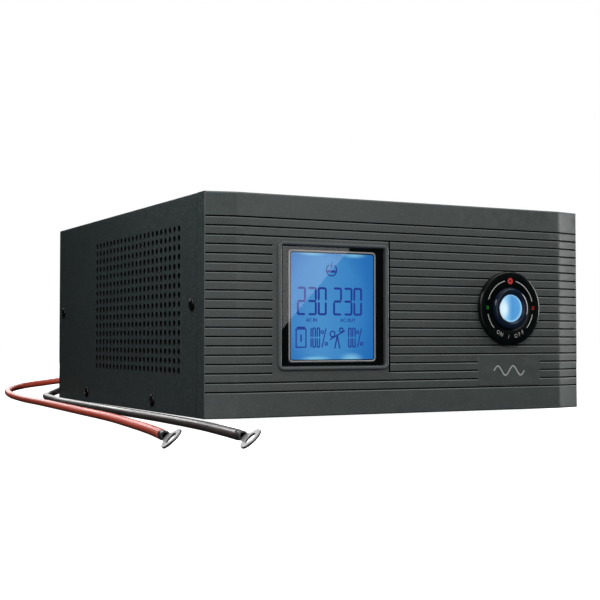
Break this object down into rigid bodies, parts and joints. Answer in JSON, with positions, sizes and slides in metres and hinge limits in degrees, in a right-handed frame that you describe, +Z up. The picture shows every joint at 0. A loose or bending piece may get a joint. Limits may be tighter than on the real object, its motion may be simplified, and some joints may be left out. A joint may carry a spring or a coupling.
{
  "type": "power inverter",
  "caption": "Desktop power inverter: ribbed front panel with a blue display and a round power button, vented steel case, fan and sockets behind, two ring-ended battery leads.",
  "frame": {"origin": "centre of the bounding box (without the free leads and their ring terminals) at the underside of the feet", "axes": "+Z up, -Y out of the control panel, +X to the right as seen from the control panel side"},
  "size_m": [0.3765, 0.5702, 0.143],
  "materials": {
    "case_steel": "speckled textured powder coat, near black",
    "panel_plastic": "slate grey moulded plastic, fine grain",
    "bezel_plastic": "grey moulded plastic, slightly smoother",
    "cover_glass": "polished, black-printed border",
    "black_gloss": "gloss black",
    "silver_frame": "satin",
    "lcd": "blue backlit liquid crystal panel",
    "circuit_board": "green solder mask",
    "navy_gloss": "dark navy moulding",
    "lens": "pale blue translucent, lit from behind",
    "foot_rubber": "matt",
    "zinc_steel": "zinc plated",
    "black_zinc": "black zinc plated",
    "black_plastic": "matt black",
    "red_insulation": "red cable sheath",
    "black_insulation": "black cable sheath",
    "tinned_copper": "bright tin plate",
    "copper_winding": "enamelled copper wire",
    "core_steel": "stacked laminations",
    "heat_sink_alu": "extruded",
    "capacitor_sleeve": "shrink sleeve",
    "fuse_body": "ceramic tube"
  },
  "bodies": {
    "case": {"base_chassis": "case_steel", "top_cover": "case_steel", "rear_panel": "case_steel", "front_panel": "panel_plastic", "badge_plate": "panel_plastic", "display_bezel": "bezel_plastic", "display_glass": "cover_glass", "display_mask": "black_gloss", "display_trim": "silver_frame", "lcd_panel": "lcd", "display_board": "circuit_board", "button_bezel": "black_gloss", "tactile_switch": "black_plastic", "button_board": "circuit_board", "fan_frame": "black_plastic", "fan_guard": "zinc_steel", "ac_outlet_a": "black_gloss", "ac_outlet_b": "black_gloss", "ac_inlet": "black_gloss", "breaker_body": "black_plastic", "gland_red": "red_insulation", "gland_black": "black_plastic", "lead_red": "red_insulation", "lead_black": "black_insulation", "ring_terminal_red": "tinned_copper", "ring_terminal_black": "tinned_copper", "main_board": "circuit_board", "heat_sink_left": "heat_sink_alu", "heat_sink_right": "heat_sink_alu", "capacitor_1": "capacitor_sleeve", "capacitor_2": "capacitor_sleeve", "capacitor_3": "capacitor_sleeve", "changeover_relay": "black_plastic", "transformer_core": "core_steel", "transformer_winding": "copper_winding", "foot_front_left": "foot_rubber", "foot_front_right": "foot_rubber", "foot_rear_left": "foot_rubber", "foot_rear_right": "foot_rubber", "side_screw_left_1": "black_zinc", "side_screw_left_2": "black_zinc", "side_screw_left_3": "black_zinc", "side_screw_left_4": "black_zinc", "side_screw_right_1": "black_zinc", "side_screw_right_2": "black_zinc", "side_screw_right_3": "black_zinc", "side_screw_right_4": "black_zinc"},
    "power_button": {"power_button": "navy_gloss", "button_lens": "lens"},
    "fan_rotor": {"fan_rotor": "black_plastic"},
    "breaker_button": {"breaker_button": "bezel_plastic"},
    "fuse_drawer": {"fuse_drawer": "black_plastic", "mains_fuse": "fuse_body"}
  },
  "joints": [
    {"name": "power_button_press", "type": "slide", "parent": "case", "child": "power_button", "axis": [0, 1, 0], "range_m": [0, 0.002], "stiffness_N_per_m": 800},
    {"name": "fan_spin", "type": "hinge", "parent": "case", "child": "fan_rotor", "pos_m": [0.082, 0.14, 0.082], "axis": [0, 1, 0], "continuous": true},
    {"name": "breaker_trip", "type": "slide", "parent": "case", "child": "breaker_button", "axis": [0, 1, 0], "range_m": [0, 0.004]},
    {"name": "fuse_drawer_pull", "type": "slide", "parent": "case", "child": "fuse_drawer", "axis": [0, 1, 0], "range_m": [0, 0.015]}
  ]
}
